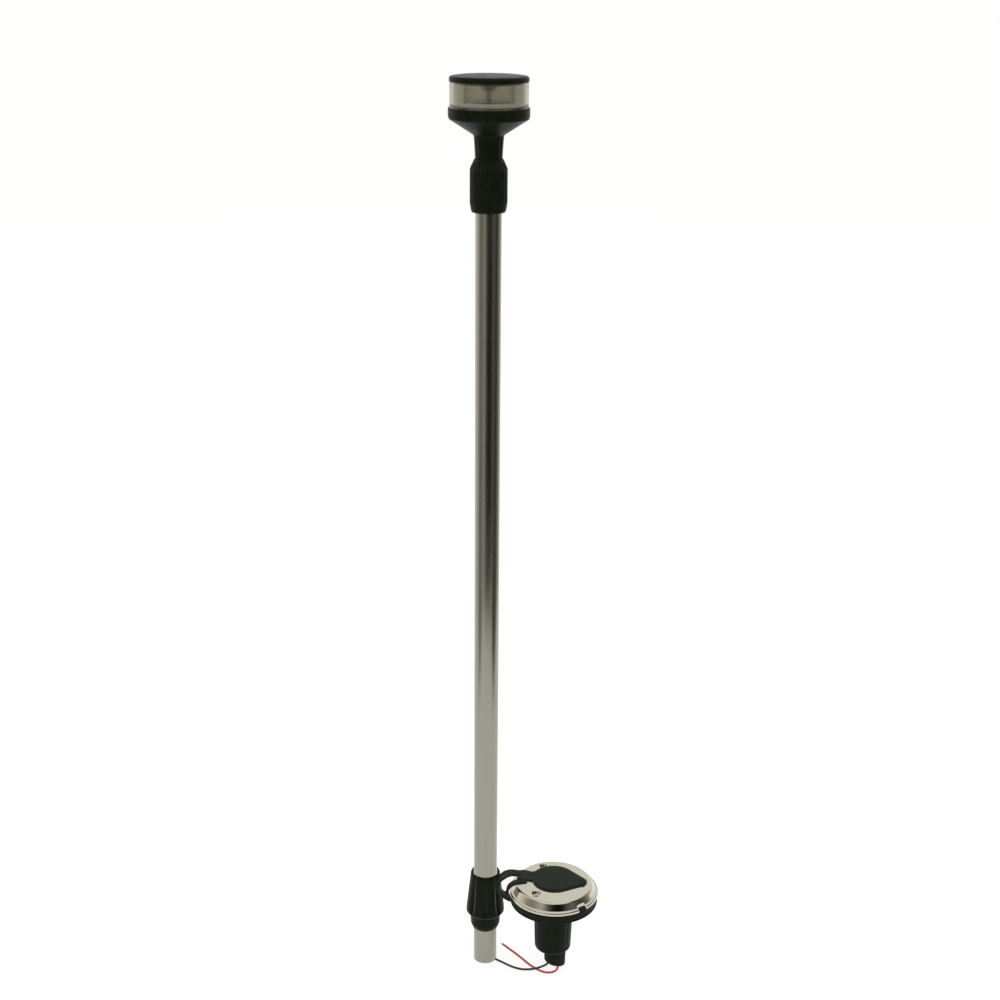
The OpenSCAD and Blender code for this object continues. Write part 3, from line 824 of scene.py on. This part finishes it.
def add_housing():
    """Lamp housing: a waisted neck with shallow ribs, a cone, and an upright drum."""
    neck, rim = HEAD_LOW, RIM_Z
    cone, drum_low = neck + 17.2, rim - 7.2
    hole, inner_r = MAST_R + 0.05, 25.6
    outline = densify(rounded([
        (hole, neck, 0.2), (9.8, neck, 0.6), (10.1, neck + 6, 3), (10.8, cone - 1.4, 2.4),
        (HEAD_R - 0.5, drum_low - 0.6, 1.1), (HEAD_R, drum_low + 1.4, 0.8), (HEAD_R, rim, 0.5),
        (inner_r, rim, 0.3), (inner_r, drum_low, 0.3), (8, cone + 2.5, 1), (hole, neck + 12, 0.2)], 4), 0.9)

    def ribs(r, z, a):
        if r < 9.2 or z > cone - 1:
            return r, z
        depth = 0.35 * fade(z, neck + 1, neck + 4) * (1 - fade(z, cone - 5, cone - 1.5))
        return r - depth * groove(a, 10, 0.5), z

    revolve("housing", outline, POLE_AXIS, "black_gloss", "mast", ["head_housing"], 240, ribs)


def add_top_cap():
    """Lamp's lid: a low, soft-edged disc with a spigot that stands inside the lens."""
    z, t = LENS_TOP, CAP_TOP
    middle, spigot_r, inside_r = 0.02, 25.1, 23
    outline = densify(rounded([
        (middle, z + 1, 0), (inside_r, z + 1, 0.3), (inside_r, z - 1.2, 0.3), (spigot_r, z - 1.2, 0.3),
        (spigot_r, z, 0.1), (LENS_R, z, 0.4), (LENS_R + 0.05, z + 2.4, 1), (LENS_R - 0.9, t - 1.1, 1.8),
        (22, t - 0.45, 4), (10, t - 0.1, 4), (middle, t, 0)], 4), 1.2)
    revolve("lamp_top", outline, POLE_AXIS, "black_gloss", "mast", ["top_cap"], 192)


def add_lens():
    """Moulded lens: a plain thick-walled drum with a stepped foot."""
    foot, top = RIM_Z, LENS_TOP
    skirt_r, bore_r, wall_r = 24.9, 23.5, LENS_R - 0.25
    outline = densify(rounded([
        (bore_r, foot - 4.6, 0.2), (skirt_r, foot - 4.6, 0.2), (skirt_r, foot, 0.1), (LENS_R, foot, 0.3),
        (LENS_R, foot + 1.4, 0.3), (wall_r, foot + 1.9, 0.3), (wall_r, top, 0.2), (25.2, top, 0.2),
        (25.2, foot + 1.6, 0.4), (bore_r, foot + 1.6, 0.2)], 3), 1.5)
    revolve("lamp_lens", outline, POLE_AXIS, "clear_lens", "mast", ["lens"], 192)


def add_light_parts():
    """What stands inside the lens: pale foot ring, inner optic with its fine rings, and the reflector."""
    foot, top = low("light_ring").z, high("inner_optic").z
    board = high("led_board").z
    ring = densify(rounded([
        (18.6, foot, 0.1), (25, foot, 0.2), (25, foot + 0.9, 0.3), (22.5, foot + 1.1, 0.3),
        (22.3, foot + 2.1, 0.4), (21.3, foot + 2.1, 0.4), (21.1, foot + 1.1, 0.3), (18.6, foot + 1, 0.2)],
        3), 1.2)
    revolve("foot_ring", ring, POLE_AXIS, "pale_plastic", "mast", ["light_ring"], 160)
    bore_r, skin, optic_r = 16.4, 17.5, 17.7
    wave, pitch = 0.08, 1.6

    def fine_rings(r, z, _):
        swell = wave * abs(math.sin(math.pi * (z - board) / pitch))
        return (r + swell if r > skin else r), z

    wall = densify(rounded([
        (bore_r, board + 0.1, 0.2), (optic_r, board + 0.1, 0.2), (optic_r, top, 0.2),
        (bore_r, top, 0.2)], 2), 0.2)
    optic = revolve("optic", wall, POLE_AXIS, "clear_lens", "mast", ["inner_optic"], 128, fine_rings)
    optic.data.materials[0] = CLEARER
    cone_low, cone_top = low("reflector_cone").z, high("reflector_cone").z
    cone = densify(rounded([
        (1.7, cone_low, 0), (3, cone_low, 0.5), (6.5, cone_low + 3, 4), (12.8, cone_top - 0.6, 1),
        (12.8, cone_top, 0.3), (1.7, cone_top, 0)], 5), 0.8)
    revolve("reflector", cone, POLE_AXIS, "bright_reflector", "mast", ["reflector_cone"], 128)


def add_leds():
    """Surface-mounted diodes: a pale frame with a domed yellow phosphor in it."""
    seat = low("leds").z
    count, circle, half, tall = 8, 9.0, 1.7, 1.2
    lip, dome_r, dome_h = 0.35, 1.15, 0.35
    sides, rings = 16, 3
    frames, frame_faces, domes, dome_faces = [], [], [], []
    for k in range(count):
        a = TAU * k / count
        out = Vector((math.cos(a), math.sin(a), 0))
        side = Vector((-math.sin(a), math.cos(a), 0))
        mid = Vector((POLE.x, POLE.y, seat)) + out * circle
        first = len(frames)
        for reach, z in ((half, 0), (half, tall), (half - lip, tall), (half - 0.5, tall - dome_h)):
            frames += [mid + out * (u * reach) + side * (v * reach) + Vector((0, 0, z))
                       for u, v in ((-1, -1), (1, -1), (1, 1), (-1, 1))]
        for level in range(3):
            for j in range(4):
                p, q = first + level * 4 + j, first + level * 4 + (j + 1) % 4
                frame_faces.append((p, q, q + 4, p + 4))
        frame_faces += [(first + 3, first + 2, first + 1, first), tuple(range(first + 12, first + 16))]
        base = len(domes)
        for ring in range(rings + 1):
            b = ring * math.pi / 7
            r, z = dome_r * math.cos(b), tall - dome_h + dome_h * math.sin(b)
            domes += [mid + out * (r * math.cos(c)) + side * (r * math.sin(c)) + Vector((0, 0, z))
                      for c in (TAU * j / sides for j in range(sides))]
        for ring in range(rings):
            for j in range(sides):
                p, q = base + ring * sides + j, base + ring * sides + (j + 1) % sides
                dome_faces.append((p, q, q + sides, p + sides))
        top = base + rings * sides
        dome_faces += [tuple(range(top, top + sides)), tuple(reversed(range(base, base + sides)))]
    piece("led_frames", frames, frame_faces, "board_white", "mast", ["leds"])
    piece("led_phosphor", domes, dome_faces, "led_yellow", "mast")


def add_base_parts():
    add_cover()
    add_flange()
    add_barrel()
    add_gasket()
    add_boot()
    add_cap()


def add_pole_parts():
    add_tube()
    add_inner_tube()
    add_collar()
    add_nut()
    add_housing()
    add_top_cap()
    add_lens()
    add_light_parts()
    add_leds()


# ---- studio -------------------------------------------------------------------------------
def glow(name, colour, strength):
    """A material that only shines."""
    mat = bpy.data.materials.new(name)
    mat.use_nodes = True
    tree = mat.node_tree
    tree.nodes.remove(tree.nodes["Principled BSDF"])
    emission = tree.nodes.new("ShaderNodeEmission")
    emission.inputs["Color"].default_value = (*colour, 1)
    emission.inputs["Strength"].default_value = strength
    tree.links.new(emission.outputs[0], tree.nodes["Material Output"].inputs["Surface"])
    return mat


def add_floor():
    """A white table top that is bright of itself, so that it stays pale right up to the object."""
    bm = bmesh.new()
    bmesh.ops.create_circle(bm, cap_ends=True, segments=96, radius=4.0)
    floor = object_from(bm, "floor")
    floor.location = (POLE.x * MM, POLE.y * MM, (FLOOR - 0.05) * MM)
    s = Shader("floor_white", (0.35, 0.35, 0.345), 0.8)
    s.set("Emission Color", (1, 1, 0.995, 1))
    s.set("Emission Strength", 0.78)
    s.set("Specular IOR Level", 0.0)
    floor.data.materials.append(s.mat)


def add_world():
    """Even white light from all round."""
    world = bpy.data.worlds.new("studio")
    world.use_nodes = True
    world.node_tree.nodes["Background"].inputs["Color"].default_value = (1, 1, 0.99, 1)
    world.node_tree.nodes["Background"].inputs["Strength"].default_value = 1.0
    bpy.context.scene.world = world


def add_front_card():
    """Curved dark card round the front, out of the camera's sight, for the tube's upper half to mirror."""
    # azimuth from the camera's side in degrees, positive to the right; brightness; distance in millimetres
    tones = [
        (-140, 1.4, 850), (-110, 1.12, 850), (-96, 0.86, 800), (-84, 0.62, 700), (-72, 0.36, 560),
        (-58, 0.32, 600), (-44, 0.42, 800), (-33, 0.6, 850), (-24, 0.44, 850), (-14, 0.16, 850),
        (-4, 0.03, 850), (12, 0.0, 850), (24, 0.01, 850), (36, 0.1, 850), (52, 0.2, 700), (64, 0.1, 560),
        (76, 0.07, 540), (86, 0.13, 620), (97, 0.26, 750), (110, 0.5, 850), (125, 0.9, 850),
        (145, 1.2, 850)]
    foot, top = FLOOR, FLOOR + 880
    warm, steps = (1, 0.95, 0.85), 4
    for i, (left, right) in enumerate(zip(tones, tones[1:])):
        for k in range(steps):
            (b0, _, d0), (b1, _, d1), (_, tone, _) = (
                [u + (v - u) * share / steps for u, v in zip(left, right)] for share in (k, k + 1, k + 0.5))
            corners = []
            for b, d, z in ((b0, d0, foot), (b1, d1, foot), (b1, d1, top), (b0, d0, top)):
                r = math.radians(b)
                corners.append(Vector((POLE.x + d * math.sin(r), POLE.y - d * math.cos(r), z)) * MM)
            mesh = bpy.data.meshes.new("card")
            mesh.from_pydata(corners, [], [(0, 1, 2, 3)])
            mesh.materials.append(glow(f"card_{i}_{k}", warm, tone))
            card = add_object(f"card_{i}_{k}", mesh)
            card.visible_camera = False
            card.visible_diffuse = False
            card.visible_shadow = False
            card.visible_transmission = False


def lit_apart():
    """Pole and base look as if lit one at a time: the base leaves no dark mirror image in the tube."""
    beside = (POLE.x + 40) * MM  # further from the pole than any piece of its own reaches
    for obj in bpy.context.scene.objects:
        on_base = obj.type == "MESH" and any(v.co.x > beside for v in obj.data.vertices)
        if on_base or obj.name.startswith(("collar", "lead_")):
            obj.visible_glossy = False


def set_colours():
    bpy.context.scene.view_settings.view_transform = "Standard"


add_camera()
add_wire("lead_black", BLACK_ROUTE, "wire_black", "wire_black", ["wire_ends"])
add_wire("lead_red", RED_ROUTE, "wire_red", "wire_red")
add_base_parts()
add_pole_parts()
SLOT_OF = {s["node"]: s["material_slot"] for s in frame["record"]["subparts"]}
for node, obj in frame["nodes"].items():
    dress(obj, SLOT_OF[node])
lit_apart()
add_floor()
add_world()
add_front_card()
set_colours()
